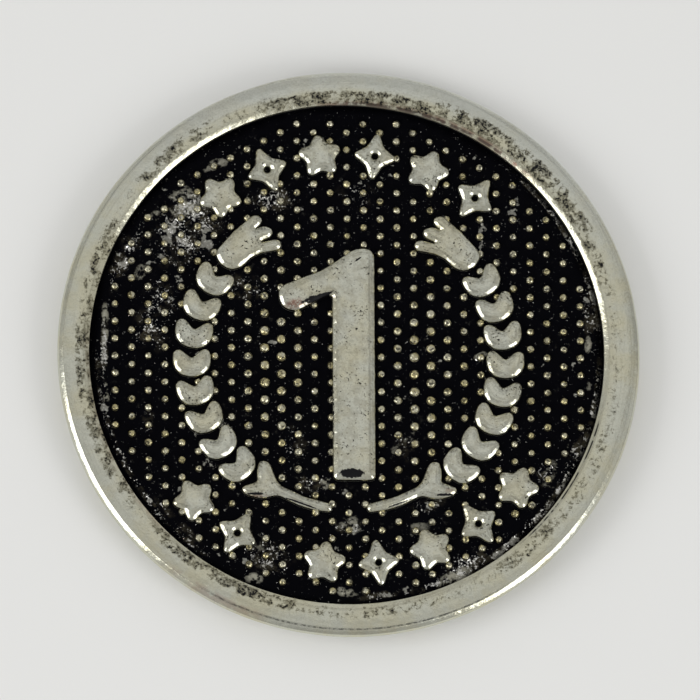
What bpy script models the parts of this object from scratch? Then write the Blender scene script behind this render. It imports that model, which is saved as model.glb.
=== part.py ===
"""A round cast token lying flat on its back.

A turned blank carries raised rims on both faces. The front holds a beaded field with the numeral 1,
a laurel wreath and a ring of stops, and the back holds a plain field.

All lengths are in millimetres until a mesh is made, which is in metres. +Z is up, +Y is the top of
the design, and the origin is the middle of the face that the token rests on.
"""
from math import atan2, cos, pi, radians, sin, tan

import bmesh
import bpy
from mathutils import Vector

MM = 0.001

# Driving dimensions
DIAMETER = 25.0
THICKNESS = 1.5
RIM_WIDTH = 1.44
FIELD_DEPTH = 0.45
CLEARANCE = 0.01

# The blank
RADIUS = DIAMETER / 2
RIM_INNER_RADIUS = RADIUS - RIM_WIDTH
INNER_CHAMFER = 0.25
INNER_CHAMFER_DROP = 0.13
CREST_RADIUS = 11.9
SHOULDER_RADIUS = 12.26
SHOULDER_DROP = 0.04
OUTER_CHAMFER_RADIUS = 12.45
OUTER_CHAMFER_DROP = 0.17
PARTING_DROP = 0.32
WALL_DRAFT = radians(16.5)
BACK_CHAMFER_WIDTH = 0.22
BACK_CHAMFER_RISE = 0.15
TURNING_STEPS = 96

# The fields, each a thin plate bedded in the blank
FIELD_PLATE = 0.12
FIELD_TOP = THICKNESS - FIELD_DEPTH
WEB_TOP = FIELD_TOP - FIELD_PLATE - CLEARANCE
FIELD_RADIUS = RIM_INNER_RADIUS - CLEARANCE
FIELD_SIDES = 48

# The beads stand on staggered columns
BEAD_COLUMN_PITCH = 0.714
BEAD_ROW_PITCH = 0.7665
BEAD_COLUMN_START = -0.03
BEAD_ROW_START = -0.11
BEAD_RADIUS = 0.19
BEAD_HEIGHT = 0.2
BEAD_SINK = 0.05
BEAD_SIDES = 6
BEADED_RADIUS = 10.45
BEAD_GAP = 0.03

# Relief heights above the front field, all below the rim's crest
RELIEF_FOOT = FIELD_TOP + CLEARANCE
NUMERAL_HEIGHT = 0.36
WREATH_HEIGHT = 0.32
STOP_HEIGHT = 0.30
EDGE_ROUND = 0.12
STOP_EDGE_ROUND = 0.05
EDGE_ROUND_STEPS = 1

# The wreath's leaves sit on a circle, one angle step apart, on each side
WREATH_CENTRE = (0.0, -0.21)
WREATH_RADIUS = 6.74
LEAF_COUNT = 8
FIRST_LEAF_ANGLE = 28.9
LEAF_ANGLE_STEP = 10.84
LEAF_LEAN = 2.3

# The stops that ring the design, as angles clockwise from the top
UPPER_STOP_RADIUS = 8.85
UPPER_STOP_STEP = 15.3
UPPER_STOP_ANGLES = [UPPER_STOP_STEP * (place - 2.5) for place in range(6)]
LOWER_STOP_RADIUS = 9.3
LOWER_STOP_STEP = 14.4
SHORT_GROUP_START = 225.6
LONG_GROUP_START = 186.8
LOWER_STOP_ANGLES = [SHORT_GROUP_START - LOWER_STOP_STEP * place for place in range(2)] + [
    LONG_GROUP_START - LOWER_STOP_STEP * place for place in range(5)
]
ROSETTE_RADIUS = 0.80
ROSETTE_SCALLOP = 0.2
ROSETTE_PETALS = 5
ROSETTE_POINTS = 30
STAR_HOLE_RADIUS = 0.16
STAR_HOLE_SIDES = 8

# Outlines as corners: x, y and the radius that rounds the corner
NUMERAL = [
    (-0.69, -5.60, 0.18), (1.12, -5.60, 0.18), (1.12, 4.67, 0.36), (0.26, 4.63, 0.5),
    (-1.05, 3.71, 1.6), (-3.08, 2.90, 0.4), (-2.87, 2.03, 0.45), (-2.26, 1.85, 0.3),
    (-0.95, 2.56, 0.3), (-0.69, 2.60, 0.12),
]
LEAF = [
    (-0.85, -0.42, 0.84), (0.85, -0.42, 0.84), (0.79, 1.08, 0.26), (0.0, 0.37, 0.06), (-0.79, 1.08, 0.26),
]
LEFT_BUD = [
    (-5.78, 4.40, 0.35), (-4.92, 5.38, 1.2), (-4.02, 6.18, 0.22), (-3.60, 5.96, 0.2),
    (-3.80, 5.66, 0.1), (-4.22, 5.36, 0.05), (-3.62, 5.67, 0.25), (-3.16, 5.48, 0.2),
    (-3.32, 5.16, 0.12), (-4.14, 4.80, 0.04), (-3.06, 5.07, 0.2), (-2.78, 4.86, 0.16),
    (-2.96, 4.59, 0.16), (-3.95, 4.42, 0.8), (-4.75, 3.68, 0.4), (-5.35, 3.77, 0.4),
]
LEFT_STEM = [
    (-3.87, -4.76, 0.12), (-3.46, -4.78, 0.2), (-3.05, -5.82, 0.4), (-1.90, -6.36, 2.0),
    (-0.72, -6.67, 0.16), (-0.76, -7.03, 0.14), (-1.95, -6.85, 2.0), (-3.08, -6.26, 0.3),
    (-3.75, -6.44, 0.5), (-4.45, -6.27, 0.3), (-4.72, -5.96, 0.14), (-3.92, -5.68, 0.08),
    (-3.97, -5.30, 0.4),
]
STAR = [
    (0.0, 1.22, 0.14), (0.37, 0.41, 0.1), (1.02, 0.0, 0.14), (0.37, -0.41, 0.1),
    (0.0, -1.22, 0.14), (-0.37, -0.41, 0.1), (-1.02, 0.0, 0.14), (-0.37, 0.41, 0.1),
]
ARC_STEP = radians(36)
MOST_OF_HALF = 0.48
SHARP_ANGLE = radians(40)
MERGE_DISTANCE = 1e-7


def rounded(corners):
    """The closed outline that runs round the corners, each turned into an arc of its radius."""
    points = []
    for index, (x, y, radius) in enumerate(corners):
        corner = Vector((x, y))
        back = Vector(corners[index - 1][:2]) - corner
        ahead = Vector(corners[(index + 1) % len(corners)][:2]) - corner
        half_angle = back.angle(ahead) / 2
        reach = min(radius / tan(half_angle), MOST_OF_HALF * back.length, MOST_OF_HALF * ahead.length)
        middle = (back.normalized() + ahead.normalized()).normalized()
        centre = corner + middle * (reach / cos(half_angle))
        start = corner + back.normalized() * reach - centre
        sweep = (corner + ahead.normalized() * reach - centre).angle_signed(start)
        steps = max(1, round(abs(sweep) / ARC_STEP))
        heading = atan2(start.y, start.x)
        for step in range(steps + 1):
            angle = heading + sweep * step / steps
            points.append((centre.x + start.length * cos(angle), centre.y + start.length * sin(angle)))
    return points


def mirrored(corners):
    return [(-x, y, radius) for x, y, radius in reversed(corners)]


def circle(radius, sides):
    return [(radius * cos(2 * pi * k / sides), radius * sin(2 * pi * k / sides)) for k in range(sides)]


def rosette():
    points = []
    for k in range(ROSETTE_POINTS):
        angle = 2 * pi * k / ROSETTE_POINTS
        radius = ROSETTE_RADIUS * (1 + ROSETTE_SCALLOP * cos(ROSETTE_PETALS * angle))
        points.append((-radius * sin(angle), radius * cos(angle)))
    return points


def placed(outline, place, turn):
    """The outline turned about its origin and moved to its place on the token."""
    return [
        (place[0] + x * cos(turn) - y * sin(turn), place[1] + x * sin(turn) + y * cos(turn))
        for x, y in outline
    ]


def leaf_place(side, number):
    """A leaf's centre and turn; its tips point up the branch. side is -1 for left and 1 for right."""
    angle = radians(FIRST_LEAF_ANGLE - LEAF_ANGLE_STEP * number)
    x = WREATH_CENTRE[0] + side * WREATH_RADIUS * cos(angle)
    y = WREATH_CENTRE[1] + WREATH_RADIUS * sin(angle)
    return (x, y), side * (angle + radians(LEAF_LEAN))


def stop_place(radius, clockwise_angle):
    angle = radians(clockwise_angle)
    upright = 0 if cos(angle) > 0 else pi
    return (radius * sin(angle), radius * cos(angle)), upright - angle


def devices():
    """Every raised device: name, outlines (the first is the outer one), place, turn, height."""
    found = [("numeral_one", [rounded(NUMERAL)], (0.0, 0.0), 0.0, NUMERAL_HEIGHT)]
    for side, word in ((-1, "left"), (1, "right")):
        bud, stem = (LEFT_BUD, LEFT_STEM) if side < 0 else (mirrored(LEFT_BUD), mirrored(LEFT_STEM))
        found.append((f"bud_{word}", [rounded(bud)], (0.0, 0.0), 0.0, WREATH_HEIGHT))
        found.append((f"stem_{word}", [rounded(stem)], (0.0, 0.0), 0.0, WREATH_HEIGHT))
        for number in range(LEAF_COUNT):
            place, turn = leaf_place(side, number)
            found.append((f"leaf_{word}_{number + 1}", [rounded(LEAF)], place, turn, WREATH_HEIGHT))
    star = [rounded(STAR), circle(STAR_HOLE_RADIUS, STAR_HOLE_SIDES)]
    rows = (("upper", UPPER_STOP_RADIUS, UPPER_STOP_ANGLES), ("lower", LOWER_STOP_RADIUS, LOWER_STOP_ANGLES))
    for word, radius, angles in rows:
        for number, clockwise_angle in enumerate(angles):
            place, turn = stop_place(radius, clockwise_angle)
            outlines = star if number % 2 else [rosette()]
            found.append((f"stop_{word}_{number + 1}", outlines, place, turn, STOP_HEIGHT))
    return found


def distance_to_edge(point, outline):
    """How far a point is outside a closed outline; negative inside it."""
    nearest = 1e9
    inside = False
    for (ax, ay), (bx, by) in zip(outline, outline[1:] + outline[:1]):
        along = Vector((bx - ax, by - ay))
        across = Vector((point[0] - ax, point[1] - ay))
        share = min(1.0, max(0.0, across.dot(along) / along.length_squared))
        nearest = min(nearest, (across - along * share).length)
        if (ay > point[1]) != (by > point[1]) and point[0] < ax + (point[1] - ay) * along.x / along.y:
            inside = not inside
    return -nearest if inside else nearest


def bead_places():
    """The lattice points that are in the beaded circle and clear of every device."""
    outlines = [placed(outlines[0], place, turn) for _, outlines, place, turn, _ in devices()]
    most = int(RADIUS / BEAD_COLUMN_PITCH) + 1
    places = []
    for column in range(-most, most + 1):
        for row in range(-most, most + 1):
            x = BEAD_COLUMN_START + column * BEAD_COLUMN_PITCH
            y = BEAD_ROW_START + (row + 0.5 * (column % 2)) * BEAD_ROW_PITCH
            if Vector((x, y)).length > BEADED_RADIUS:
                continue
            if all(distance_to_edge((x, y), outline) > BEAD_RADIUS + BEAD_GAP for outline in outlines):
                places.append((x, y))
    return places


def finish_of(name, colour, roughness, metallic):
    material = bpy.data.materials.new(name)
    material.use_nodes = True
    shader = material.node_tree.nodes["Principled BSDF"]
    shader.inputs["Base Color"].default_value = (*colour, 1.0)
    shader.inputs["Roughness"].default_value = roughness
    shader.inputs["Metallic"].default_value = metallic
    return material


def collection_of(name):
    collection = bpy.data.collections.new(name)
    bpy.context.scene.collection.children.link(collection)
    return collection


def add_object(name, mesh, collection, material):
    mesh.materials.clear()
    mesh.materials.append(material)
    mesh.shade_smooth()
    mesh.set_sharp_from_angle(angle=SHARP_ANGLE)
    piece = bpy.data.objects.new(name, mesh)
    collection.objects.link(piece)
    return piece


def rim_profile():
    """Half of the blank's section, from the middle of its front to the middle of its back.

    Each rim has a flat crest between two chamfers. The mould's parting line is the widest part of the
    edge and lies just below the front crest, and the wall under it draws in to the back crest.
    """
    front_inside = [
        (0.0, WEB_TOP),
        (RIM_INNER_RADIUS, WEB_TOP),
        (RIM_INNER_RADIUS, THICKNESS - INNER_CHAMFER_DROP),
        (RIM_INNER_RADIUS + INNER_CHAMFER, THICKNESS),
    ]
    wall_drop = THICKNESS - PARTING_DROP - BACK_CHAMFER_RISE
    wall_foot = RADIUS - wall_drop * tan(WALL_DRAFT)
    outside = [
        (CREST_RADIUS, THICKNESS),
        (SHOULDER_RADIUS, THICKNESS - SHOULDER_DROP),
        (OUTER_CHAMFER_RADIUS, THICKNESS - OUTER_CHAMFER_DROP),
        (RADIUS, THICKNESS - PARTING_DROP),
        (wall_foot, BACK_CHAMFER_RISE),
        (wall_foot - BACK_CHAMFER_WIDTH, 0.0),
    ]
    back_inside = [(x, THICKNESS - z) for x, z in reversed(front_inside)]
    return front_inside + outside + back_inside


def make_blank(collection, material):
    """The coin blank with its two rims, turned about its axis."""
    profile = rim_profile()
    mesh = bpy.data.meshes.new("blank")
    edges = [(k, k + 1) for k in range(len(profile) - 1)]
    mesh.from_pydata([(x * MM, 0.0, z * MM) for x, z in profile], edges, [])
    blank = add_object("blank", mesh, collection, material)
    screw = blank.modifiers.new("turn", "SCREW")
    screw.steps = TURNING_STEPS
    screw.render_steps = TURNING_STEPS
    screw.use_merge_vertices = True
    screw.merge_threshold = MERGE_DISTANCE
    return blank


def make_plate(name, height, collection, material):
    """A round field plate of the given mid height."""
    bpy.ops.mesh.primitive_cylinder_add(
        vertices=FIELD_SIDES, radius=FIELD_RADIUS * MM, depth=FIELD_PLATE * MM
    )
    pattern = bpy.context.object
    plate = add_object(name, pattern.data.copy(), collection, material)
    bpy.data.objects.remove(pattern)
    plate.location.z = height * MM
    return plate


def make_beads(collection, material):
    """The beads as one cutter-like object, sunk a little so that they join the field they stand on."""
    bm = bmesh.new()
    for x, y in bead_places():
        ring = bmesh.ops.create_cone(
            bm, cap_ends=True, segments=BEAD_SIDES, depth=(BEAD_HEIGHT + BEAD_SINK) * MM,
            radius1=BEAD_RADIUS * MM, radius2=0.0,
        )
        middle = FIELD_TOP + (BEAD_HEIGHT - BEAD_SINK) / 2
        bmesh.ops.translate(bm, verts=ring["verts"], vec=(x * MM, y * MM, middle * MM))
    bmesh.ops.remove_doubles(bm, verts=bm.verts, dist=MERGE_DISTANCE)
    mesh = bpy.data.meshes.new("beads")
    bm.to_mesh(mesh)
    bm.free()
    beads = add_object("beads", mesh, collection, material)
    beads.hide_render = True
    beads.display_type = "WIRE"
    return beads


def make_front_field(collection, joiners, material):
    """The front field: a plate with the beads joined on."""
    field = make_plate("front_field", FIELD_TOP - FIELD_PLATE / 2, collection, material)
    join = field.modifiers.new("beads", "BOOLEAN")
    join.operation = "UNION"
    join.solver = "EXACT"
    join.object = make_beads(joiners, material)
    return field


def make_device(name, outlines, height, edge_round, collection, material):
    """A raised device from its flat outlines, with the rim of its upper face taken off."""
    curve = bpy.data.curves.new(name, "CURVE")
    curve.dimensions = "2D"
    curve.fill_mode = "BOTH"
    curve.extrude = height / 2 * MM
    for outline in outlines:
        spline = curve.splines.new("POLY")
        spline.points.add(len(outline) - 1)
        spline.use_cyclic_u = True
        for point, (x, y) in zip(spline.points, outline):
            point.co = (x * MM, y * MM, 0.0, 1.0)
    flat = bpy.data.objects.new(name + "_outline", curve)
    collection.objects.link(flat)
    mesh = bpy.data.meshes.new_from_object(flat.evaluated_get(bpy.context.evaluated_depsgraph_get()))
    bpy.data.objects.remove(flat)

    bm = bmesh.new()
    bm.from_mesh(mesh)
    bmesh.ops.remove_doubles(bm, verts=bm.verts, dist=MERGE_DISTANCE)
    bmesh.ops.dissolve_limit(bm, angle_limit=radians(1), verts=bm.verts, edges=bm.edges)
    upper_rim = [
        edge for edge in bm.edges
        if all(vertex.co.z > 0 for vertex in edge.verts) and edge.calc_face_angle() > radians(60)
    ]
    bmesh.ops.bevel(
        bm, geom=upper_rim, offset=edge_round * MM, segments=EDGE_ROUND_STEPS, profile=0.5, affect="EDGES"
    )
    bmesh.ops.recalc_face_normals(bm, faces=bm.faces)
    bm.to_mesh(mesh)
    bm.free()
    mesh.name = name
    return add_object(name, mesh, collection, material)


def make_devices(collection, silver):
    """Every device on the front; the leaves share one mesh, and so do stops of one kind."""
    meshes = {}
    pieces = []
    for name, outlines, place, turn, height in devices():
        kind = name if place == (0.0, 0.0) else (len(outlines), height)
        if kind in meshes:
            piece = bpy.data.objects.new(name, meshes[kind])
            collection.objects.link(piece)
        else:
            edge_round = STOP_EDGE_ROUND if name.startswith("stop") else EDGE_ROUND
            piece = make_device(name, outlines, height, edge_round, collection, silver)
            meshes[kind] = piece.data
        piece.location = (place[0] * MM, place[1] * MM, (RELIEF_FOOT + height / 2) * MM)
        piece.rotation_euler.z = turn
        pieces.append(piece)
    return pieces


def build():
    for old in list(bpy.data.objects):
        bpy.data.objects.remove(old)
    token = collection_of("token")
    joiners = collection_of("joiners")
    rim_silver = finish_of("rim_silver", (0.62, 0.60, 0.54), 0.32, 1.0)
    relief_silver = finish_of("relief_silver", (0.60, 0.58, 0.52), 0.30, 1.0)
    blackened = finish_of("blackened_field", (0.03, 0.03, 0.035), 0.45, 0.4)

    centre = bpy.data.objects.new("token_centre", None)
    token.objects.link(centre)
    pieces = [
        make_blank(token, rim_silver),
        make_front_field(token, joiners, blackened),
        make_plate("back_field", THICKNESS - (FIELD_TOP - FIELD_PLATE / 2), token, blackened),
    ]
    pieces += make_devices(token, relief_silver)
    for piece in pieces:
        piece.parent = centre


build()
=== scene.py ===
"""The looks of a cast token in antiqued silver: worn bright on its rims, beads and raised devices,
and blackened in the field between them.

Lengths are in millimetres until a mesh is made, which is in metres. Every place comes from the frame:
the outlines of the devices are read from the CAD nodes that the finer pieces stand for.
"""
from math import cos, degrees, exp, hypot, pi, radians, sin

import bmesh
import bpy
import numpy as np
from mathutils import Matrix, Vector, noise


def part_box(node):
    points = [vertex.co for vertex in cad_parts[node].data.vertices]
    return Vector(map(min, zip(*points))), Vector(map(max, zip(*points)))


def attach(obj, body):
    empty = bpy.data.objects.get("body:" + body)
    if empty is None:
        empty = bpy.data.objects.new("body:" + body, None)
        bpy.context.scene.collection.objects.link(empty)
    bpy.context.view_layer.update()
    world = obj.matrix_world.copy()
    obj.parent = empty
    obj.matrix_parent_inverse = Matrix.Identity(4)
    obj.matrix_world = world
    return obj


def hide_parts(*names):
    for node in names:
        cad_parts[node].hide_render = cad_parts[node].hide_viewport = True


MM = 0.001

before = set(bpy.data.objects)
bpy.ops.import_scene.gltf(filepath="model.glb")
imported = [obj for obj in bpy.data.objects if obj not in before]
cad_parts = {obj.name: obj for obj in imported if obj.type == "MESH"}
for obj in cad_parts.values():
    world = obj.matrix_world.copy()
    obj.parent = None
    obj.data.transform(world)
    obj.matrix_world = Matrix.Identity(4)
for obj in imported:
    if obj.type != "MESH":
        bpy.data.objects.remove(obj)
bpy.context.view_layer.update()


def box_mm(node):
    low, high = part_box(node)
    return low / MM, high / MM


# The token's main sizes, read from the frame
RADIUS = box_mm("blank")[1].x
THICKNESS = box_mm("blank")[1].z
FIELD_EDGE = box_mm("front_field")[1].x
FRONT_FLOOR = box_mm("numeral_one")[0].z - 0.01
BACK_FLOOR = THICKNESS - FRONT_FLOOR
DEVICES = sorted(set(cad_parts) - {"blank", "front_field", "back_field"})

# The rim's section, by radius and by how far it is below the crest
INNER_RADIUS = FIELD_EDGE + 0.01
INNER_CHAMFER = 0.25
INNER_CHAMFER_DROP = 0.13
CREST_RADIUS = 11.9
SHOULDER_RADIUS = 12.26
SHOULDER_DROP = 0.04
OUTER_CHAMFER_RADIUS = 12.45
OUTER_CHAMFER_DROP = 0.17
PARTING_DROP = 0.32
WALL_FOOT_RADIUS = 12.195
BACK_CREST_RADIUS = 11.975
BACK_CHAMFER_RISE = 0.15
INNER_SHIFT = (-0.088, -0.042)
TURNS = 720

# The devices have a wall, a chamfer whose slope lessens inwards, and a top that rolls into it and has
# lumps of these heights and widths. The cells nearest the outline keep their height when the top is eased
EDGE_SLOPE = 0.92
CHAMFER_RUN = 0.13
ROLL_SLOPE = 0.42
ROLL_RUN = 0.22
EASING_PASSES = 4
LUMPS = ((0.010, 0.9), (0.006, 0.25))
WALL_DRAFT = 0.03
BELOW_FLOOR = 0.12
CELL = 0.028
HELD_WIDTH = 1.6 * CELL

# The beads stand on staggered columns
COLUMN_PITCH = 0.714
COLUMN_START = -0.03
ROW_PITCH = 0.7665
ROW_START = -0.11
BEADED_RADIUS = 10.52
BEAD_HEIGHT = 0.19
BEAD_CLEARANCE = 0.03
BEAD_SIDES = 16
BEAD_RINGS = ((0.28, 0.985), (0.52, 0.93), (0.72, 0.80), (0.87, 0.58), (0.96, 0.30), (1.08, 0.0))

# The fields run a little under the rim
FIELD_LAP = 0.06
FIELD_SIDES = 360


# ---------------------------------------------------------------- shapes


def wobble(x, y, z, size, seed):
    """Smooth noise from -1 to 1 whose lumps are about size across."""
    return noise.noise(Vector((x / size + seed * 7.3, y / size - seed * 3.1, z / size + seed * 5.7)))


def finish_piece(name, mesh, material, node):
    """An object that rides on the token's one body, stands for a CAD node and has its material slot."""
    mesh.validate()
    mesh.materials.append(material)
    mesh.shade_smooth()
    piece = bpy.data.objects.new(name, mesh)
    bpy.context.scene.collection.objects.link(piece)
    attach(piece, "root")
    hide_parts(node)


def foot_outlines(node):
    """The closed outlines of a CAD device's foot, as arrays of points."""
    shape = bmesh.new()
    shape.from_mesh(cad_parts[node].data)
    bmesh.ops.remove_doubles(shape, verts=shape.verts, dist=1e-7)
    foot = min(vertex.co.z for vertex in shape.verts) + 1e-6
    under = {face for face in shape.faces if all(vertex.co.z < foot for vertex in face.verts)}
    follows = {}
    for edge in shape.edges:
        if sum(face in under for face in edge.link_faces) == 1:
            for vertex in edge.verts:
                follows.setdefault(vertex, []).append(edge.other_vert(vertex))
    outlines = []
    while follows:
        at = next(iter(follows))
        loop = []
        while at in follows:
            loop.append((at.co.x / MM, at.co.y / MM))
            ahead = [other for other in follows.pop(at) if other in follows]
            at = ahead[0] if ahead else None
        outlines.append(np.array(loop))
    shape.free()
    return outlines


def softened(outline, step=0.06, passes=3):
    """The outline at even steps, its facets and corners eased."""
    closed = np.vstack([outline, outline[:1]])
    run = np.concatenate([[0.0], np.cumsum(np.hypot(*np.diff(closed, axis=0).T))])
    count = max(24, int(run[-1] / step))
    at = np.arange(count) * run[-1] / count
    even = np.column_stack([np.interp(at, run, closed[:, k]) for k in (0, 1)])
    for _ in range(passes):
        even = (np.roll(even, 1, 0) + 2 * even + np.roll(even, -1, 0)) / 4
    return even


def inside_distance(points, outlines):
    """How far each point is inside the closed outlines; negative outside them."""
    nearest = np.full(len(points), np.inf)
    inside = np.zeros(len(points), bool)
    x, y = points[:, 0], points[:, 1]
    for outline in outlines:
        for (ax, ay), (bx, by) in zip(outline, np.roll(outline, -1, 0)):
            dx, dy = bx - ax, by - ay
            share = np.clip(((x - ax) * dx + (y - ay) * dy) / (dx * dx + dy * dy), 0, 1)
            nearest = np.minimum(nearest, np.hypot(x - ax - share * dx, y - ay - share * dy))
            crosses = (ay > y) != (by > y)
            if dy:
                inside ^= crosses & (x < ax + (y - ay) * dx / dy)
    return np.where(inside, nearest, -nearest)


def inward(points, outlines):
    """The direction in which each point gets further inside the outlines."""
    nudge = 0.004
    slope = np.column_stack([
        inside_distance(points + (nudge, 0), outlines) - inside_distance(points - (nudge, 0), outlines),
        inside_distance(points + (0, nudge), outlines) - inside_distance(points - (0, nudge), outlines),
    ])
    return slope / np.maximum(np.hypot(*slope.T), 1e-6)[:, None]


def pillow(inside):
    """How far a device's top has risen above its wall, at a distance inside its outline."""
    steep = np.clip(inside, 0, CHAMFER_RUN)
    roll = np.clip(inside - CHAMFER_RUN, 0, ROLL_RUN)
    return (
        EDGE_SLOPE * steep - (EDGE_SLOPE - ROLL_SLOPE) / (2 * CHAMFER_RUN) * steep**2
        + ROLL_SLOPE * roll - ROLL_SLOPE / (2 * ROLL_RUN) * roll**2
    )


def relief(node, material, height, outlines, seed):
    """A cast device as a closed solid whose walls sink below the field."""
    margin = 3 * CELL
    low = np.min([outline.min(0) for outline in outlines], 0) - margin
    high = np.max([outline.max(0) for outline in outlines], 0) + margin
    columns, rows = (int(v) + 1 for v in (high - low) / CELL)
    grid = np.stack(np.meshgrid(np.arange(columns + 1), np.arange(rows + 1), indexing="ij"), -1)
    points = low + grid.reshape(-1, 2) * CELL
    inside = inside_distance(points, outlines)

    def index(i, j):
        return i * (rows + 1) + j

    middle = inside.reshape(columns + 1, rows + 1)
    middle = (middle[:-1, :-1] + middle[1:, :-1] + middle[:-1, 1:] + middle[1:, 1:]) / 4
    faces = [
        (index(i, j), index(i + 1, j), index(i + 1, j + 1), index(i, j + 1))
        for i, j in zip(*np.nonzero(middle > 0))
    ]
    used, place = np.unique(np.array(faces), return_inverse=True)
    faces = place.reshape(-1, 4)
    points = points[used]

    # The outermost points are moved onto the outline
    edges = np.sort(np.concatenate([faces[:, [k, (k + 1) % 4]] for k in range(4)]), axis=1)
    single, count = np.unique(edges, axis=0, return_counts=True)
    edge = np.unique(single[count == 1])
    for _ in range(3):
        points[edge] -= inward(points[edge], outlines) * inside_distance(points[edge], outlines)[:, None]

    inside = np.maximum(inside_distance(points, outlines), 0)
    wall = height - float(pillow(np.array(CHAMFER_RUN + ROLL_RUN)))
    top = wall + pillow(inside)
    held = inside < HELD_WIDTH
    for _ in range(EASING_PASSES):
        total, met = np.zeros(len(points)), np.zeros(len(points))
        for a, b in ((0, 1), (1, 0)):
            np.add.at(total, single[:, a], top[single[:, b]])
            np.add.at(met, single[:, a], 1)
        top = np.where(held, top, total / met)
    for k, (size, across) in enumerate(LUMPS):
        top += [size * wobble(x, y, 0, across, seed + k) for x, y in points]

    shape = bmesh.new()
    corners = [shape.verts.new((x * MM, y * MM, (FRONT_FLOOR + z) * MM)) for (x, y), z in zip(points, top)]
    for face in faces:
        shape.faces.new([corners[k] for k in face])
    outward = {corners[k]: -way for k, way in zip(edge, inward(points[edge], outlines))}
    open_edges = [edge for edge in shape.edges if edge.is_boundary]
    for out, drop_to in ((0.006, 0.6 * wall), (WALL_DRAFT, -BELOW_FLOOR)):
        made = bmesh.ops.extrude_edge_only(shape, edges=open_edges)["geom"]
        lower = [item for item in made if isinstance(item, bmesh.types.BMVert)]
        followed = {}
        for vertex in lower:
            above = next(
                edge.other_vert(vertex) for edge in vertex.link_edges if edge.other_vert(vertex) in outward
            )
            followed[vertex] = outward[above]
            vertex.co.x += outward[above][0] * out * MM
            vertex.co.y += outward[above][1] * out * MM
            vertex.co.z = (FRONT_FLOOR + drop_to) * MM
        outward = followed
        open_edges = [item for item in made if isinstance(item, bmesh.types.BMEdge)]
    bmesh.ops.triangle_fill(shape, use_beauty=True, edges=open_edges)
    bmesh.ops.recalc_face_normals(shape, faces=shape.faces)
    mesh = bpy.data.meshes.new(node)
    shape.to_mesh(mesh)
    shape.free()
    finish_piece(node + "_cast", mesh, material, node)


def rim_section():
    """The rim's section from the front field, over the crest and edge, to the back field."""
    top = THICKNESS
    crest_start = INNER_RADIUS + INNER_CHAMFER
    corners = [
        (INNER_RADIUS - 0.02, FRONT_FLOOR - 0.2), (INNER_RADIUS - 0.01, FRONT_FLOOR + 0.05),
        (INNER_RADIUS, top - INNER_CHAMFER_DROP - 0.05), (INNER_RADIUS, top - INNER_CHAMFER_DROP),
        (INNER_RADIUS + 0.03, top - INNER_CHAMFER_DROP + 0.02), (crest_start - 0.03, top - 0.016),
        (crest_start + 0.06, top), ((crest_start + CREST_RADIUS) / 2, top), (CREST_RADIUS - 0.1, top),
        (CREST_RADIUS + 0.1, top - 0.008), (SHOULDER_RADIUS - 0.03, top - SHOULDER_DROP),
        (SHOULDER_RADIUS + 0.02, top - SHOULDER_DROP - 0.012),
        (OUTER_CHAMFER_RADIUS - 0.02, top - OUTER_CHAMFER_DROP + 0.012),
        (OUTER_CHAMFER_RADIUS + 0.008, top - OUTER_CHAMFER_DROP - 0.02),
        (RADIUS, top - PARTING_DROP + 0.02), (RADIUS, top - PARTING_DROP - 0.02),
        ((RADIUS + WALL_FOOT_RADIUS) / 2, (top - PARTING_DROP + BACK_CHAMFER_RISE) / 2),
        (WALL_FOOT_RADIUS + 0.015, BACK_CHAMFER_RISE + 0.05),
        (WALL_FOOT_RADIUS - 0.03, BACK_CHAMFER_RISE - 0.02),
        (BACK_CREST_RADIUS + 0.03, 0.018), (BACK_CREST_RADIUS - 0.06, 0.0),
        ((crest_start + BACK_CREST_RADIUS) / 2, 0.0), (crest_start + 0.06, 0.0), (crest_start - 0.03, 0.016),
        (INNER_RADIUS + 0.03, INNER_CHAMFER_DROP - 0.02), (INNER_RADIUS, INNER_CHAMFER_DROP),
        (INNER_RADIUS, INNER_CHAMFER_DROP + 0.05), (INNER_RADIUS - 0.01, BACK_FLOOR - 0.05),
        (INNER_RADIUS - 0.02, BACK_FLOOR + 0.2),
    ]
    return chaikin(corners, 2)


def chaikin(points, passes):
    """An open line with its corners cut, its ends kept."""
    for _ in range(passes):
        cut = [points[0]]
        for (ax, az), (bx, bz) in zip(points, points[1:]):
            cut.append((0.75 * ax + 0.25 * bx, 0.75 * az + 0.25 * bz))
            cut.append((0.25 * ax + 0.75 * bx, 0.25 * az + 0.75 * bz))
        points = cut + [points[-1]]
    return points


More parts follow.
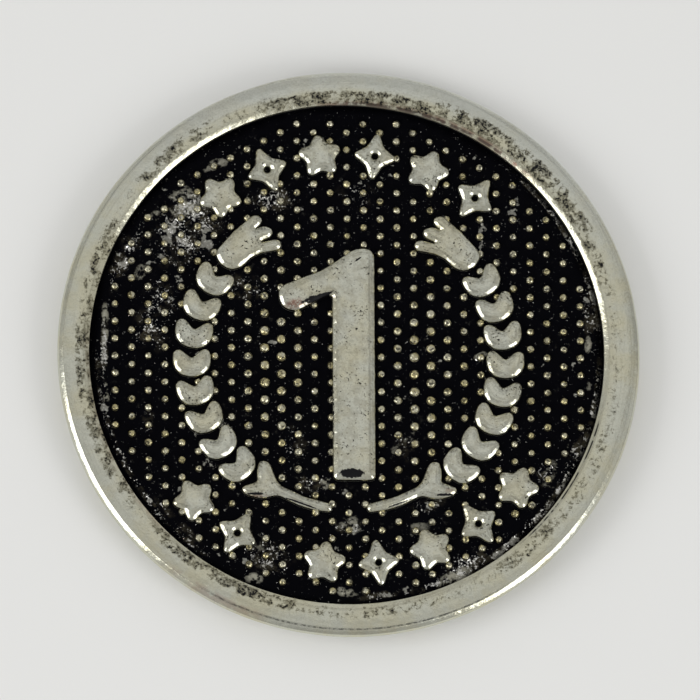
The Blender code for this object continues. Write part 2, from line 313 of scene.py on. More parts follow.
def make_rim(material):
    """The rims and edge wall, turned, the front's inner edge a little off centre, as it was cast."""
    section = rim_section()
    points = []
    for turn in range(TURNS):
        angle = 2 * pi * turn / TURNS
        for radius, height in section:
            x, y = radius * cos(angle), radius * sin(angle)
            slow = wobble(x, y, height, 2.6, 3)
            fine = wobble(x, y, height, 0.45, 4)
            radius += 0.010 * slow + 0.004 * fine
            # The crests stay in their plane, so that the token lies flat
            up = 0.005 * fine * min(1.0, height * (THICKNESS - height) / 0.3)
            shift = max(0.0, min(1.0, (CREST_RADIUS - radius) / 0.5)) if height > THICKNESS / 2 else 0.0
            points.append((
                radius * cos(angle) + INNER_SHIFT[0] * shift,
                radius * sin(angle) + INNER_SHIFT[1] * shift,
                height + up,
            ))
    across = len(section)
    faces = []
    for turn in range(TURNS):
        here, ahead = turn * across, (turn + 1) % TURNS * across
        faces += [(here + k, here + k + 1, ahead + k + 1, ahead + k) for k in range(across - 1)]
    faces.append([turn * across for turn in range(TURNS)])
    faces.append([turn * across + across - 1 for turn in reversed(range(TURNS))])
    mesh = bpy.data.meshes.new("rim_and_edge")
    mesh.from_pydata([(x * MM, y * MM, z * MM) for x, y, z in points], [], faces)
    shape = bmesh.new()
    shape.from_mesh(mesh)
    bmesh.ops.recalc_face_normals(shape, faces=shape.faces)
    shape.to_mesh(mesh)
    shape.free()
    finish_piece("rim_and_edge", mesh, material, "blank")


def bead_size(x, y):
    """The bead radius, which the worn mould makes largest beside the middle of the numeral."""
    near = exp(-(((abs(x) - 3.2) / 1.1) ** 2 + ((y + 0.8) / 3.4) ** 2))
    return 0.170 + 0.055 * near + 0.020 * wobble(x, y, 0, 0.3, 11)


def lattice():
    """The bead places, column by column, well past the field."""
    most = int(RADIUS / COLUMN_PITCH) + 1
    for column in range(-most, most + 1):
        for row in range(-most, most + 1):
            x = COLUMN_START + column * COLUMN_PITCH
            yield x, ROW_START + (row + 0.5 * (column % 2)) * ROW_PITCH


def make_field(name, node, material, floor, facing, outlines):
    """A recessed floor as one closed solid, beaded clear of the outlines, or plain where there are none.

    facing is 1 for the front and -1 for the back.
    """
    cells = [place for place in lattice() if hypot(*place) < BEADED_RADIUS]
    clear = inside_distance(np.array(cells), outlines) < -BEAD_CLEARANCE if outlines else [False] * len(cells)
    shape = bmesh.new()

    def vertex(x, y, lift):
        settle = 0.006 * wobble(x, y, 0, 0.7, 21) if lift == 0 else 0.0
        return shape.verts.new((x * MM, y * MM, (floor + facing * (lift + settle)) * MM))

    half = (COLUMN_PITCH / 2, ROW_PITCH / 2)
    quarter = BEAD_SIDES // 4
    for (x, y), beaded in zip(cells, clear):
        corners = []
        for k in range(BEAD_SIDES):
            side, along = divmod(k + quarter // 2, quarter)
            run = 2 * along / quarter - 1
            u, v = ((1, run), (-run, 1), (-1, -run), (run, -1))[side % 4]
            corners.append(vertex(x + u * half[0], y + v * half[1], 0))
        if not beaded:
            shape.faces.new(corners)
            continue
        radius = bead_size(x, y)
        tall = BEAD_HEIGHT * (0.9 + 0.1 * wobble(x, y, 0, 0.3, 12))
        lean_x, lean_y = 0.012 * wobble(x, y, 0, 0.3, 13), 0.012 * wobble(x, y, 0, 0.3, 14)
        outer = corners
        for share, lift in reversed(BEAD_RINGS):
            ring = []
            for k in range(BEAD_SIDES):
                angle = 2 * pi * k / BEAD_SIDES
                u, v = cos(angle) * radius * share, sin(angle) * radius * share
                dent = 1 + 0.07 * wobble(x + u, y + v, lift, 0.16, 15)
                place = (x + u * dent + lean_x * lift, y + v * dent + lean_y * lift)
                ring.append(vertex(*place, lift * tall * dent))
            for k in range(BEAD_SIDES):
                after = (k + 1) % BEAD_SIDES
                shape.faces.new((outer[k], outer[after], ring[after], ring[k]))
            outer = ring
        crown = vertex(x, y, tall)
        for k in range(BEAD_SIDES):
            shape.faces.new((outer[k], outer[(k + 1) % BEAD_SIDES], crown))

    bmesh.ops.remove_doubles(shape, verts=shape.verts, dist=1e-6)
    inner_edges = [edge for edge in shape.edges if edge.is_boundary]
    shift = INNER_SHIFT if facing > 0 else (0.0, 0.0)
    outside = FIELD_EDGE + FIELD_LAP
    ring = []
    for k in range(FIELD_SIDES):
        angle = 2 * pi * k / FIELD_SIDES
        ring.append(vertex(shift[0] + outside * cos(angle), shift[1] + outside * sin(angle), 0))
    ring_edges = [shape.edges.new((ring[k], ring[(k + 1) % FIELD_SIDES])) for k in range(FIELD_SIDES)]
    bmesh.ops.triangle_fill(shape, use_beauty=True, edges=inner_edges + ring_edges)
    made = bmesh.ops.extrude_edge_only(shape, edges=ring_edges)["geom"]
    lower = [item for item in made if isinstance(item, bmesh.types.BMVert)]
    for item in lower:
        item.co.z = (floor - facing * BELOW_FLOOR) * MM
    bmesh.ops.triangle_fill(
        shape, use_beauty=True, edges=[item for item in made if isinstance(item, bmesh.types.BMEdge)]
    )
    bmesh.ops.recalc_face_normals(shape, faces=shape.faces)
    mesh = bpy.data.meshes.new(name)
    shape.to_mesh(mesh)
    shape.free()
    finish_piece(name, mesh, material, node)


# ---------------------------------------------------------------- materials


def put(tree, socket, value):
    """Link the socket to another node's output, or give it a plain value. A colour needs no alpha."""
    if isinstance(value, bpy.types.NodeSocket):
        tree.links.new(value, socket)
    elif socket.type == "RGBA":
        socket.default_value = (*value, 1.0)
    elif value is not None:
        socket.default_value = value


def mixed(tree, kind, share, a, b):
    """A mix of two colours (kind RGBA) or two vectors (kind VECTOR)."""
    made = tree.nodes.new("ShaderNodeMix")
    made.data_type = kind
    put(tree, made.inputs["Factor"], share)
    ends = [socket for socket in made.inputs if socket.type == kind and socket.name in ("A", "B")]
    for end, value in zip(ends, (a, b)):
        put(tree, end, value)
    return next(socket for socket in made.outputs if socket.type == kind)


class Graph:
    """A material's node tree, with short ways to add the nodes that these finishes use."""

    def __init__(self, name):
        self.material = bpy.data.materials.new(name)
        self.material.use_nodes = True
        self.tree = self.material.node_tree
        self.shader = self.tree.nodes["Principled BSDF"]
        place = self.node("ShaderNodeTexCoord").outputs["Object"]
        self.place = self.vector("SCALE", place, scale=1 / MM)
        parts = self.node("ShaderNodeSeparateXYZ", self.place)
        self.x, self.y, self.z = parts.outputs
        facing = self.node("ShaderNodeSeparateXYZ", self.node("ShaderNodeNewGeometry").outputs["Normal"])
        self.away = facing.outputs["Y"]

    def node(self, kind, *values, **settings):
        made = self.tree.nodes.new(kind)
        for key, value in settings.items():
            setattr(made, key, value)
        for socket, value in zip(made.inputs, values):
            put(self.tree, socket, value)
        return made

    def vector(self, operation, a, b=None, scale=None):
        made = self.node("ShaderNodeVectorMath", a, b, operation=operation)
        if scale is not None:
            made.inputs["Scale"].default_value = scale
        return made.outputs["Value" if operation == "LENGTH" else "Vector"]

    def math(self, operation, a, b=None, clamp=False):
        return self.node("ShaderNodeMath", a, b, operation=operation, use_clamp=clamp).outputs[0]

    def noise(self, size, detail, rough, seed=0, place=None):
        """Noise from 0 to 1 whose lumps are about size across, in millimetres."""
        place = place or self.place
        if seed:
            place = self.vector("ADD", place, (seed * 3.7, seed * -5.1, seed * 2.3))
        made = self.node("ShaderNodeTexNoise", place)
        made.inputs["Scale"].default_value = 1 / size
        made.inputs["Detail"].default_value = detail
        made.inputs["Roughness"].default_value = rough
        return made.outputs["Fac"]

    def ramp(self, value, low, high, out_low=0.0, out_high=1.0):
        """value eased from out_low at low to out_high at high."""
        made = self.node(
            "ShaderNodeMapRange", value, low, high, out_low, out_high, interpolation_type="SMOOTHSTEP"
        )
        return made.outputs[0]

    def smear(self, x, y, length, width, turn):
        """1 at a place on the face, easing to 0 at half a length along it and half a width across it."""
        c, s = cos(radians(turn)), sin(radians(turn))
        east, north = self.math("SUBTRACT", self.x, x), self.math("SUBTRACT", self.y, y)
        along = self.math("ADD", self.times(east, 2 * c / length), self.times(north, 2 * s / length))
        across = self.math("ADD", self.times(east, -2 * s / width), self.times(north, 2 * c / width))
        away = self.vector("LENGTH", self.node("ShaderNodeCombineXYZ", along, across, 0.0).outputs[0])
        return self.ramp(away, 0.25, 1.0, 1.0, 0.0)

    def polar(self):
        """The radius, and the angle in degrees from +X towards +Y, of a place on the face."""
        flat = self.node("ShaderNodeCombineXYZ", self.x, self.y, 0.0).outputs[0]
        angle = self.times(self.math("ARCTAN2", self.y, self.x), degrees(1.0))
        return self.vector("LENGTH", flat), self.math("FLOORED_MODULO", angle, 360.0)

    def arc(self, polar, start, end, low, high, side):
        """1 on the stretch of a ring between two angles and two radii, eased at its ends and sides."""
        radius, angle = polar
        ease = 4.0
        return self.times(
            self.ramp(angle, start - ease, start + ease), self.ramp(angle, end - ease, end + ease, 1.0, 0.0),
            self.ramp(radius, low - side, low + side), self.ramp(radius, high - side, high + side, 1.0, 0.0),
        )

    def band(self, value, middle, width):
        """1 where value is near middle, easing to 0 at width from it."""
        away = self.math("ABSOLUTE", self.math("SUBTRACT", value, middle))
        return self.ramp(away, 0.0, width, 1.0, 0.0)

    def most(self, *values):
        found = values[0]
        for value in values[1:]:
            found = self.math("MAXIMUM", found, value)
        return found

    def times(self, *values):
        found = values[0]
        for value in values[1:]:
            found = self.math("MULTIPLY", found, value)
        return found

    def mix(self, share, a, b):
        return mixed(self.tree, "RGBA", share, a, b)

    def blend(self, share, a, b):
        """A number that goes evenly from a to b as share goes from 0 to 1."""
        return self.node("ShaderNodeMapRange", share, 0.0, 1.0, a, b).outputs[0]

    def bump(self, height, distance, normal=None):
        made = self.node("ShaderNodeBump")
        made.inputs["Strength"].default_value = 1.0
        made.inputs["Distance"].default_value = distance * MM
        put(self.tree, made.inputs["Height"], height)
        put(self.tree, made.inputs["Normal"], normal)
        return made.outputs["Normal"]

    def finish(self, colour, roughness, metallic, normal, specular):
        for name, value in (
            ("Base Color", colour), ("Roughness", roughness), ("Metallic", metallic), ("Normal", normal),
            ("Specular IOR Level", specular),
        ):
            put(self.tree, self.shader.inputs[name], value)
        return self.material


SILVER = (0.655, 0.660, 0.560)
WARM_SILVER = (0.66, 0.635, 0.475)
BLUE_SHEEN_SILVER = (0.65, 0.67, 0.62)
BRASSY = (0.52, 0.46, 0.25)
BEAD_SILVER = (0.64, 0.61, 0.46)
TARNISH_AND_SHADE = (0.30, 0.27, 0.18)
RED_BROWN = (0.30, 0.14, 0.10)
GRIME = (0.15, 0.135, 0.08)
BLACK = (0.0012, 0.0012, 0.0022)
STAIN = (0.22, 0.19, 0.12)
DULL_SILVER = (0.30, 0.29, 0.235)
RUBBED_SILVER = (0.50, 0.49, 0.43)
SPECK_SILVER = (0.76, 0.75, 0.70)

# Stretches of the rim: start and end angle, low and high radius, strength
PITTED = (
    (28, 70, 11.22, 11.90, 1.25), (70, 108, 11.12, 11.60, 1.6), (120, 140, 11.35, 11.90, 0.9),
    (148, 215, 11.12, 11.75, 0.85), (223, 258, 11.22, 11.70, 1.35), (258, 292, 11.25, 11.75, 0.5),
    (303, 322, 11.22, 11.8, 0.75), (322, 345, 11.3, 11.9, 0.45), (14, 30, 11.15, 11.7, 0.9),
)
BLACK_INNER_EDGE = ((52, 92, 11.0, 11.14, 0.8), (312, 346, 11.09, 11.17, 1.0), (225, 250, 11.0, 11.1, 0.6))
BROWNED = ((46, 96, 11.0, 11.20, 0.9), (232, 252, 12.1, 12.45, 0.35), (176, 226, 11.05, 11.3, 0.25))
CREASED = ((240, 302, 12.19, 12.28, 1.0), (130, 166, 12.24, 12.32, 0.5), (20, 60, 12.22, 12.3, 0.3))


def worn_silver(g):
    """Silver with a cloudy warm cast."""
    return g.mix(g.ramp(g.noise(1.7, 4.0, 0.6, seed=1), 0.38, 0.68), SILVER, WARM_SILVER)


def zones(g, polar, stretches, side):
    """The strongest of the stretches at each place, eased over side at their inner and outer radii."""
    return g.most(*[g.times(g.arc(polar, *stretch, side), strength) for *stretch, strength in stretches])


def spots(g, places):
    """The strongest of the rubbed places at each place."""
    return g.most(*[g.times(g.smear(*place), strength) for *place, strength in places])


def rim_finish():
    """Worn silver, pitted and mottled black on the crest's inner half, browned at its inner edge."""
    g = Graph("rim_antiqued_silver")
    polar = g.polar()
    radius, angle = polar
    front = g.ramp(g.z, THICKNESS / 2 - 0.1, THICKNESS / 2 + 0.1)
    grain = g.noise(0.13, 3.0, 0.68, seed=3)
    coarse = g.noise(0.42, 3.0, 0.6, seed=4)
    texture = g.blend(0.35, grain, coarse)

    share = zones(g, polar, PITTED, 0.12)
    everywhere = g.times(g.band(radius, INNER_RADIUS + 0.42, 0.65), 0.30)
    share = g.times(g.most(share, everywhere), g.ramp(coarse, 0.36, 0.56, 0.45, 1.0))
    over = g.math("SUBTRACT", texture, g.blend(share, 0.65, 0.505))
    pits = g.ramp(over, 0.0, 0.08)
    side = g.times(g.ramp(g.z, 1.05, 1.2, 1.0, 0.0), g.ramp(radius, 11.9, 12.1))
    scuffs = g.times(side, g.ramp(texture, 0.54, 0.60), 0.55)
    mottle = g.times(g.ramp(over, -0.10, 0.0), g.ramp(share, 0.05, 0.4))
    cloud = g.times(g.ramp(coarse, 0.42, 0.60), g.ramp(share, 0.2, 1.0))
    speckle = g.ramp(g.noise(0.08, 2.0, 0.6, seed=22), 0.50, 0.66)

    edge_black = zones(g, polar, BLACK_INNER_EDGE, 0.03)
    edge_black = g.times(edge_black, g.ramp(coarse, 0.36, 0.50, 0.4, 1.0), front)
    crease = g.times(zones(g, polar, CREASED, 0.03), g.ramp(grain, 0.40, 0.56, 0.5, 1.0), front)
    drop = g.math("SUBTRACT", THICKNESS, g.z)
    inside = g.ramp(radius, INNER_RADIUS + 0.12, INNER_RADIUS + 0.22, 1.0, 0.0)
    low_front = g.ramp(g.math("ADD", drop, g.times(grain, 0.06)), 0.22, 0.30)
    low_back = g.ramp(g.math("SUBTRACT", g.z, g.times(grain, 0.06)), 0.14, 0.22)
    wall = g.times(inside, g.times(low_front, low_back))
    black = g.most(pits, edge_black, g.times(crease, 0.85), wall)

    # Fine turning marks run round the rim
    turned = g.node("ShaderNodeCombineXYZ", g.times(radius, 9.0), g.times(angle, 0.05), 0.0).outputs[0]
    marks = g.noise(1.0, 3.0, 0.6, place=turned)

    # A painted bluish sheen lies on the outer part of the crest round the top of the face
    outer = g.times(g.ramp(radius, 11.55, 11.85), g.ramp(angle, 15, 45), g.ramp(angle, 120, 160, 1.0, 0.0))
    brown = g.times(zones(g, polar, BROWNED, 0.1), g.ramp(coarse, 0.36, 0.58), front)
    colour = g.mix(g.times(outer, 0.6), worn_silver(g), BLUE_SHEEN_SILVER)
    colour = g.mix(g.times(g.band(radius, 11.25, 0.4), 0.5), colour, WARM_SILVER)
    colour = g.mix(g.times(speckle, 0.14), colour, TARNISH_AND_SHADE)
    colour = g.mix(g.times(g.ramp(marks, 0.50, 0.72), 0.16), colour, TARNISH_AND_SHADE)
    colour = g.mix(g.times(brown, 0.85), colour, RED_BROWN)
    colour = g.mix(g.most(g.times(mottle, 0.76), g.times(cloud, 0.38)), colour, GRIME)
    colour = g.mix(scuffs, colour, GRIME)
    colour = g.mix(black, colour, BLACK)

    rough = g.blend(g.noise(0.6, 4.0, 0.6, seed=8), 0.12, 0.30)
    rough = g.blend(g.most(black, g.times(mottle, 0.5)), rough, 0.5)
    soft = g.bump(g.noise(0.45, 3.0, 0.55, seed=9), 0.026)
    lines = g.bump(marks, 0.0022, soft)
    normal = g.bump(g.math("SUBTRACT", 1.0, g.most(pits, crease)), 0.010, lines)
    return g.finish(colour, rough, g.blend(black, 1.0, 0.0), normal, 0.2)


# Places on the devices: x, y, length, width, turn, strength
# Black marks. The long mark down the stem's lower left edge is painted shade, and the one under the flag is
# partly painted shade; both dim the highlights on those edges
BLACK_MARKS_AND_SHADE = (
    (-1.30, 2.45, 2.1, 0.42, 18, 1.0), (0.11, -5.33, 1.5, 0.55, 0, 1.3), (-0.74, -2.6, 5.4, 0.34, 90, 0.5),
    (0.42, 4.14, 0.5, 0.12, 35, 0.8), (-2.05, -6.66, 2.3, 0.11, -20, 0.9), (-4.05, -6.24, 1.2, 0.16, -3, 0.9),
    (2.05, -6.66, 2.0, 0.09, 20, 0.7), (4.05, -6.24, 1.2, 0.16, 3, 0.9), (-6.15, 5.0, 0.5, 0.2, 60, 0.5),
)
RUBBED_RED = (
    (-2.30, 2.17, 1.2, 0.6, 12, 0.9), (-1.2, 2.3, 1.8, 0.5, 18, 0.5), (-3.9, -6.33, 1.2, 0.22, 0, 0.5),
    (4.3, -6.05, 0.6, 0.3, 0, 0.4),
)


def relief_finish():
    """Worn silver on the devices, with fine pits and black marks, tarnish on their walls, painted shade mixed
    with tarnish on their far edges, and painted shade dimming the stem's lower left edge and the flag's
    underside.
    """
    g = Graph("relief_antiqued_silver")
    lift = g.math("SUBTRACT", g.z, FRONT_FLOOR)
    grain = g.noise(0.11, 3.0, 0.65, seed=3)
    zone = g.ramp(g.noise(1.0, 3.0, 0.55, seed=12), 0.42, 0.66)
    over = g.math("SUBTRACT", grain, g.blend(zone, 0.69, 0.60))
    pits = g.ramp(over, 0.0, 0.03)
    foot = g.ramp(g.math("ADD", lift, g.times(g.math("SUBTRACT", grain, 0.5), 0.10)), 0.03, 0.08, 1.0, 0.0)
    # Black marks, with painted shade on the stem's lower left edge and under the flag
    marks_and_shade = spots(g, BLACK_MARKS_AND_SHADE)
    ragged = g.math("ADD", grain, g.times(marks_and_shade, 0.5))
    rubbed = g.times(g.ramp(ragged, 0.66, 0.76), g.ramp(marks_and_shade, 0.05, 0.2))
    # Painted shade: the sides that face away from the lights are darkened, broken up by grain
    far_side = g.times(g.ramp(g.away, 0.05, 0.40), g.ramp(g.noise(0.5, 2.0, 0.5, seed=23), 0.34, 0.60))
    far_side_shade = g.times(far_side, g.ramp(grain, 0.44, 0.60))
    black = g.most(pits, foot, rubbed, g.times(far_side_shade, 0.75))

    reds = spots(g, RUBBED_RED)
    # Tarnish on the walls and lower chamfers, kept off the sides that face the lights, so that on the far
    # sides it is also painted shade
    unlit = g.ramp(g.away, -0.25, 0.10)
    edge_tarnish_and_shade = g.times(g.ramp(lift, 0.16, 0.31, 1.0, 0.0), g.ramp(grain, 0.40, 0.56), unlit, 0.9)
    speckle = g.ramp(g.noise(0.08, 2.0, 0.6, seed=22), 0.50, 0.66)
    blotch = g.ramp(g.noise(0.45, 4.0, 0.65, seed=24), 0.44, 0.60)
    colour = g.mix(g.most(edge_tarnish_and_shade, g.times(speckle, 0.16), g.times(blotch, 0.28)), worn_silver(g), TARNISH_AND_SHADE)
    colour = g.mix(g.times(reds, g.ramp(grain, 0.32, 0.55)), colour, RED_BROWN)
    colour = g.mix(g.times(g.ramp(over, -0.07, 0.02), 0.6), colour, GRIME)
    colour = g.mix(black, colour, BLACK)
    rough = g.blend(black, g.blend(g.noise(0.5, 4.0, 0.6, seed=8), 0.12, 0.24), 0.5)
    soft = g.bump(g.noise(0.38, 3.0, 0.5, seed=9), 0.024)
    normal = g.bump(g.math("SUBTRACT", 1.0, pits), 0.008, soft)
    return g.finish(colour, rough, g.blend(black, 1.0, 0.0), normal, 0.2)


def field_finish(name, floor, facing, worn_spots, patches, moat):
    """Black antiquing, bright bead tops, and silver showing through where the floor is rough and rubbed."""
    g = Graph(name)
    lift = g.times(g.math("SUBTRACT", g.z, floor), float(facing))
    grain = g.noise(0.10, 3.0, 0.7, seed=13)
    tops = g.ramp(g.math("ADD", lift, g.times(g.math("SUBTRACT", grain, 0.5), 0.07)), 0.045, 0.075)
    dimples = g.times(g.ramp(lift, 0.12, 0.16), g.ramp(g.noise(0.14, 2.0, 0.5, seed=19), 0.54, 0.585))
    tops = g.math("SUBTRACT", tops, g.times(dimples, 0.85), clamp=True)

    worn = spots(g, worn_spots)
    patchy = g.ramp(g.noise(0.8, 3.0, 0.6, seed=14), 0.38, 0.58)
    worn = g.most(worn, zones(g, g.polar(), moat, 0.08))
    share = g.math("ADD", g.times(worn, g.blend(patchy, 0.45, 1.0)), g.times(patchy, 0.10))
    specks = g.ramp(g.math("SUBTRACT", grain, g.blend(share, 0.70, 0.522)), 0.0, 0.03)
    smooth = g.noise(0.75, 5.0, 0.62, seed=15)
    rubbed = g.ramp(g.math("SUBTRACT", smooth, g.blend(share, 0.68, 0.52)), 0.0, 0.03)
    stain = g.times(g.ramp(g.noise(0.6, 5.0, 0.7, seed=20), 0.46, 0.60), g.ramp(share, 0.12, 0.9, 0.0, 0.16))
    patch = spots(g, patches)
    ragged = g.math("ADD", g.times(g.ramp(patch, 0.0, 0.45), 0.17), g.noise(0.36, 5.0, 0.70, seed=25))
    patch = g.times(g.ramp(ragged, 0.62, 0.72), g.blend(patch, 0.05, 1.0), g.blend(grain, 0.0, 2.0))

    bare = g.most(tops, specks, g.times(rubbed, 0.6))
    warmth = g.ramp(g.noise(0.42, 2.0, 0.5, seed=16), 0.35, 0.65)
    colour = g.mix(stain, BLACK, STAIN)
    colour = g.mix(patch, colour, DULL_SILVER)
    colour = g.mix(g.times(rubbed, g.blend(grain, 0.1, 0.9)), colour, RUBBED_SILVER)
    colour = g.mix(specks, colour, SPECK_SILVER)
    colour = g.mix(tops, colour, g.mix(warmth, BRASSY, BEAD_SILVER))
    rough = g.blend(bare, 0.62, 0.13)
    rugged = g.bump(g.noise(0.13, 3.0, 0.65, seed=17), 0.030)
    soft = g.bump(g.noise(0.10, 2.0, 0.5, seed=18), 0.048)
    normal = mixed(g.tree, "VECTOR", tops, rugged, soft)
    return g.finish(colour, rough, g.blend(bare, 0.0, 1.0), normal, 0.02)


# ---------------------------------------------------------------- the studio

ROOM = (0.62, 0.62, 0.61)
BACKDROP = (0.80, 0.80, 0.79)
FLOOR_GAP = 0.01
# What the metal sees of the room: its dimmest and brightest parts, and how much lighter the far side is
ROOM_IN_METAL = (0.30, 0.60)
FAR_SIDE_LIGHTER = 0.08


def make_floor():
    bpy.ops.mesh.primitive_plane_add(size=3.0, location=(0.0, 0.0, -FLOOR_GAP * MM))
    floor = bpy.context.object
    floor.name = "floor"
    material = bpy.data.materials.new("pale_floor")
    material.use_nodes = True
    shader = material.node_tree.nodes["Principled BSDF"]
    shader.inputs["Base Color"].default_value = (*BACKDROP, 1.0)
    shader.inputs["Roughness"].default_value = 0.75
    shader.inputs["Specular IOR Level"].default_value = 0.2
    floor.data.materials.append(material)


def area_light(name, azimuth, elevation, distance, size, radiance):
    """A soft light aimed at the token, size wide and high. Azimuth 0 is +X and 90 is +Y."""
    data = bpy.data.lights.new(name, "AREA")
    data.shape = "RECTANGLE"
    data.size, data.size_y = size
    data.energy = radiance * pi * size[0] * size[1]
    lamp = bpy.data.objects.new(name, data)
    a, e = radians(azimuth), radians(elevation)
    towards = Vector((cos(a) * cos(e), sin(a) * cos(e), sin(e)))
    lamp.location = towards * distance
    lamp.rotation_euler = towards.to_track_quat("Z", "Y").to_euler()
    bpy.context.scene.collection.objects.link(lamp)


def make_studio():
    """A bright room that the metal sees as a dim one, with a soft light above and one at each side."""
    world = bpy.data.worlds.new("studio")
    bpy.context.scene.world = world
    world.use_nodes = True
    tree = world.node_tree
    path = tree.nodes.new("ShaderNodeLightPath")
    direction = tree.nodes.new("ShaderNodeTexCoord").outputs["Generated"]
    clutter = tree.nodes.new("ShaderNodeTexNoise")
    clutter.inputs["Scale"].default_value = 5.0
    split = tree.nodes.new("ShaderNodeSeparateXYZ")
    total = tree.nodes.new("ShaderNodeMath")
    put(tree, clutter.inputs["Vector"], direction)
    put(tree, split.inputs["Vector"], direction)
    for term, mapping in zip(total.inputs, (
        (clutter.outputs["Fac"], 0.36, 0.64, *ROOM_IN_METAL),
        (split.outputs["Y"], 0.35, 0.95, 0.0, FAR_SIDE_LIGHTER),
    )):
        mapped = tree.nodes.new("ShaderNodeMapRange")
        for socket, given in zip(mapped.inputs, mapping):
            put(tree, socket, given)
        put(tree, term, mapped.outputs[0])
    colour = ROOM
    for ray, seen in (("Is Glossy Ray", total.outputs[0]), ("Is Camera Ray", BACKDROP)):
        colour = mixed(tree, "RGBA", path.outputs[ray], colour, seen)
    put(tree, tree.nodes["Background"].inputs["Color"], colour)
    area_light("overhead", 80, 75, 0.5, (0.46, 0.46), 0.12)
    area_light("key_left", 194, 36, 0.4, (0.25, 0.22), 2.9)
    area_light("key_right", -37, 36, 0.4, (0.19, 0.22), 2.9)


def make_camera():
    """A long lens above the token, tipped off its axis towards the bottom of the design."""
    tilt, axis_turn, distance, frame_width = radians(14.83), radians(11.0), 0.9, 30.02
    axis = Vector((cos(axis_turn), -sin(axis_turn), 0.0))
    turn = Matrix.Rotation(tilt, 3, axis)
    data = bpy.data.cameras.new("camera")
    data.sensor_width = 36.0
    data.lens = data.sensor_width * distance / (frame_width * MM)
    data.clip_end = 10.0
    camera = bpy.data.objects.new("camera", data)
    aim = Vector((0.0, 0.0, THICKNESS * MM)) + turn @ Vector((0.044, 0.087, 0.0)) * MM
    camera.location = aim + turn @ Vector((0.0, 0.0, distance))
    camera.rotation_euler = turn.to_euler()
    bpy.context.scene.collection.objects.link(camera)
    bpy.context.scene.camera = camera
    bpy.context.scene.view_settings.view_transform = "Standard"


# ---------------------------------------------------------------- the token


# Rubbed places on the fields: x, y, length, width, turn, strength
FRONT_WEAR = (
    (-6.9, 5.6, 5.2, 3.6, 60, 1.0), (-8.3, 1.6, 4.4, 2.2, 80, 0.85), (-4.4, 3.0, 2.6, 1.8, 0, 0.6),
    (-9.6, 4.4, 3.6, 1.3, 65, 0.8), (-3.2, 6.9, 2.6, 1.6, 0, 0.75), (5.0, -9.4, 3.2, 1.5, 28, 1.0),
    (8.2, -5.4, 2.6, 1.0, 50, 0.6), (0.0, -7.6, 1.8, 1.0, 0, 0.9), (-1.6, -5.7, 1.8, 1.4, 0, 0.9),
    (-2.4, -3.9, 2.2, 1.8, 80, 0.55), (2.4, -4.1, 2.0, 1.4, 80, 0.45), (-3.4, -8.9, 3.0, 2.4, 0, 0.6),
    (-10.5, 0.0, 4.6, 0.5, 90, 0.9), (-10.1, 3.0, 1.4, 0.5, 75, 0.9), (10.4, 1.6, 3.6, 0.9, 95, 0.6),
    (9.6, -4.5, 4.4, 0.6, 65, 0.7), (-7.2, -7.6, 4.6, 0.6, 134, 0.6), (2.0, -10.5, 6.0, 0.5, 10, 0.6),
    (0.4, 7.0, 3.0, 2.2, 0, 0.3), (3.4, -6.6, 2.4, 0.9, 20, 0.55), (6.0, 4.9, 1.2, 0.8, 0, 0.5),
    (5.6, -0.1, 0.9, 0.3, 20, 0.9), (5.9, 0.6, 0.6, 0.5, 0, 0.7), (-8.6, -3.0, 1.6, 1.0, 90, 0.4),
)
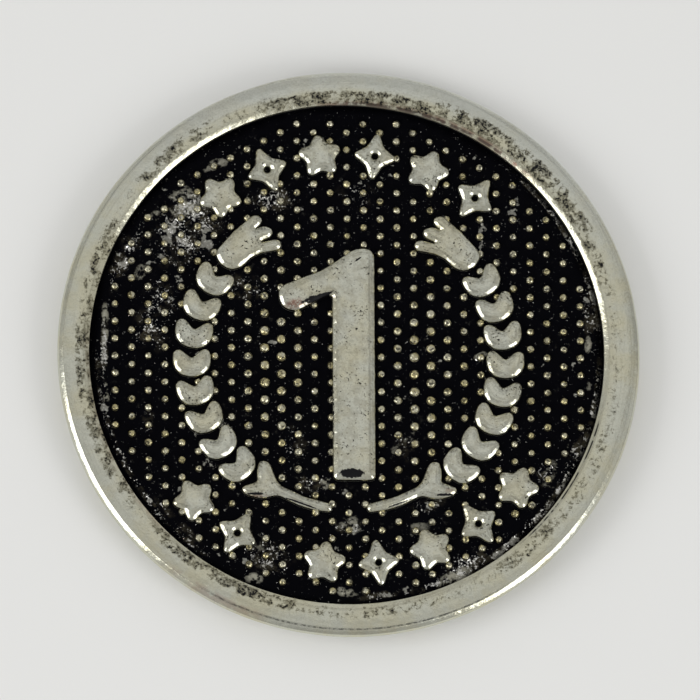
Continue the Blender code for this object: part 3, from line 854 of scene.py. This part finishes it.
# Smooth patches where the blacking has gone: x, y, length, width, turn, strength
FRONT_PATCHES = (
    (-7.1, 6.7, 2.2, 1.7, 30, 0.9), (-5.7, 8.4, 1.9, 0.7, 20, 0.7), (-8.3, 6.1, 1.1, 0.6, 20, 0.8),
    (-10.45, 1.3, 2.8, 0.45, 90, 0.9), (-10.4, -1.9, 2.0, 0.4, 92, 0.7), (-3.95, -8.7, 3.6, 1.2, 92, 0.30),
    (0.05, -7.55, 1.5, 1.2, 0, 0.7), (2.9, -7.7, 1.3, 0.9, 30, 0.6), (-0.2, -10.5, 1.3, 0.6, -10, 0.8),
    (4.5, -9.8, 2.2, 0.9, 28, 1.0), (-4.1, -9.9, 1.1, 0.7, 0, 0.9), (2.0, -4.3, 1.1, 0.8, 60, 0.35),
    (2.6, -3.6, 1.8, 1.0, 60, 0.2), (-2.1, -4.7, 2.4, 1.1, 70, 0.22), (-1.1, -5.75, 1.0, 0.7, 60, 0.8),
    (-4.0, 4.6, 1.2, 0.7, 50, 0.5), (-8.9, 3.6, 1.4, 0.8, 60, 0.6), (5.7, 0.0, 0.9, 0.4, 20, 0.9),
    (10.3, 0.5, 1.1, 0.45, 90, 0.8), (10.3, -1.4, 1.0, 0.35, 90, 0.4), (8.6, -5.3, 2.4, 1.0, 75, 0.35),
    (9.5, -4.0, 0.8, 0.6, 60, 0.35),
)
# Rough stretches of the moat beside the rim: start and end angle, low and high radius, strength
FRONT_MOAT = ((2, 50, 10.72, 10.94, 1.0), (180, 235, 10.66, 10.92, 0.6), (285, 358, 10.66, 10.94, 1.0))

BACK_WEAR = ((5.0, 4.0, 6.0, 4.0, 30, 0.8), (-6.0, -5.0, 5.0, 3.6, 130, 0.7), (0.0, -9.0, 4.0, 2.0, 0, 0.6))
BACK_PATCHES = (
    (4.0, 5.0, 3.0, 1.6, 30, 0.6), (-6.5, -4.0, 2.4, 1.2, 130, 0.6), (1.0, -9.0, 2.6, 0.9, 10, 0.7),
)
BACK_MOAT = ((200, 250, 10.68, 10.92, 0.6),)


def make_token():
    make_rim(rim_finish())
    silver = relief_finish()
    feet = []
    for seed, node in enumerate(DEVICES):
        outlines = [softened(outline) for outline in foot_outlines(node)]
        relief(node, silver, box_mm(node)[1].z - FRONT_FLOOR, outlines, seed)
        feet += outlines
    front = field_finish("front_field_black", FRONT_FLOOR, 1, FRONT_WEAR, FRONT_PATCHES, FRONT_MOAT)
    back = field_finish("back_field_black", BACK_FLOOR, -1, BACK_WEAR, BACK_PATCHES, BACK_MOAT)
    make_field("front_field_beaded", "front_field", front, FRONT_FLOOR, 1, feet)
    make_field("back_field_plain", "back_field", back, BACK_FLOOR, -1, [])


make_token()
make_floor()
make_studio()
make_camera()
